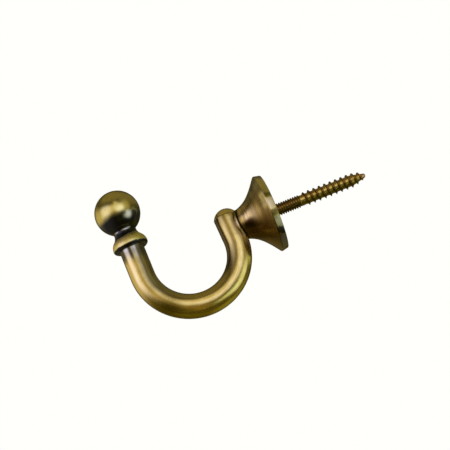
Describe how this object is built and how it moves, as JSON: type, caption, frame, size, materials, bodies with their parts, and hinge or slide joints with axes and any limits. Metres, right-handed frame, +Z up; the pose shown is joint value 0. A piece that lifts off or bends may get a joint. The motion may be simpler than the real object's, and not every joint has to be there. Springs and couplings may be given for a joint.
{
  "type": "curtain hook",
  "caption": "Wall hook for a curtain tieback: round-bar J hook with a ball finial and collar, on a trumpet-shaped rose with a hanger bolt.",
  "frame": {"origin": "centre of the rose's back face, on the bolt's axis, in the plane of the wall", "axes": "+Y into the wall along the hanger bolt, +Z up, the hook lies in the YZ plane and opens upwards"},
  "size_m": [0.0256, 0.0855, 0.0498],
  "materials": {
    "hook_brass": "relieved antique, lacquered satin gloss",
    "rose_brass": "relieved antique, lacquered satin gloss",
    "bolt_steel": "yellow passivated zinc plating"
  },
  "bodies": {
    "root": {"hook": "hook_brass", "rose": "rose_brass", "hanger_bolt": "bolt_steel"}
  },
  "joints": []
}
